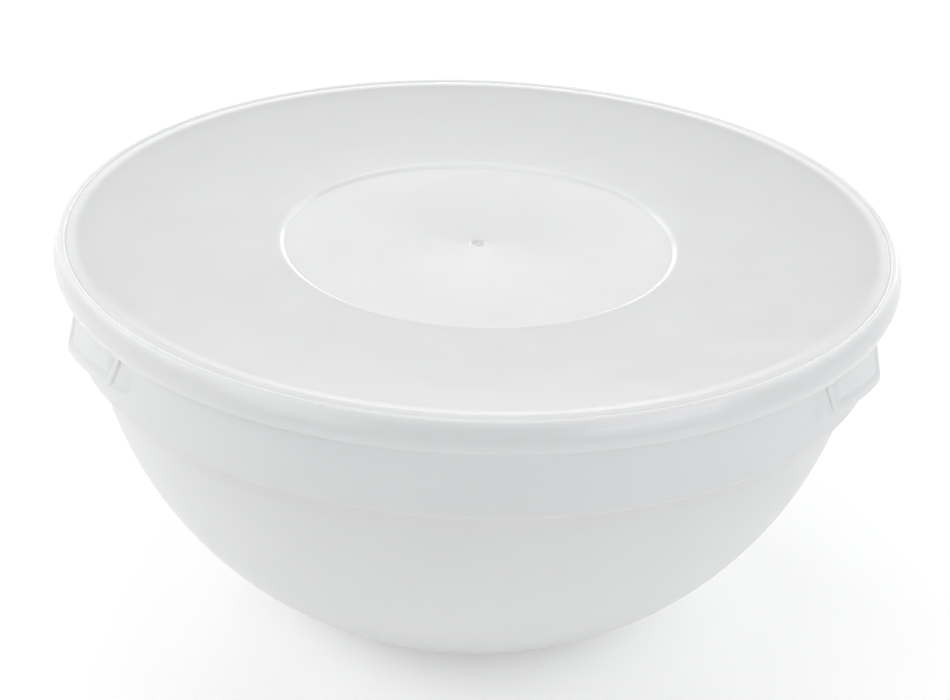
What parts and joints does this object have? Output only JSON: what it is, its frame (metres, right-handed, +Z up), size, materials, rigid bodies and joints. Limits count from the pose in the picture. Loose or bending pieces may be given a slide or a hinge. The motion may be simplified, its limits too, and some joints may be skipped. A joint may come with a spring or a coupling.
{
  "type": "plastic bowl with lid",
  "caption": "Large round plastic food bowl with a shouldered rim, grip lugs and a round lid whose skirt closes over the rim.",
  "frame": {"origin": "Middle of the bowl's foot, on the surface that the bowl stands on.", "axes": "+Z is up along the bowl's axis, the X axis runs between the two pairs of grip lugs, and +Y is the side away from the viewer of the picture."},
  "size_m": [0.3406, 0.3406, 0.1603],
  "materials": {
    "bowl_plastic": "satin, cloudy white",
    "lid_plastic": "satin, cloudy white"
  },
  "bodies": {
    "bowl": {"bowl": "bowl_plastic"},
    "lid": {"lid": "lid_plastic"}
  },
  "joints": [
    {"name": "lid_lift", "type": "slide", "parent": "bowl", "child": "lid", "axis": [0, 0, 1], "range_m": [0, 0.1]}
  ]
}
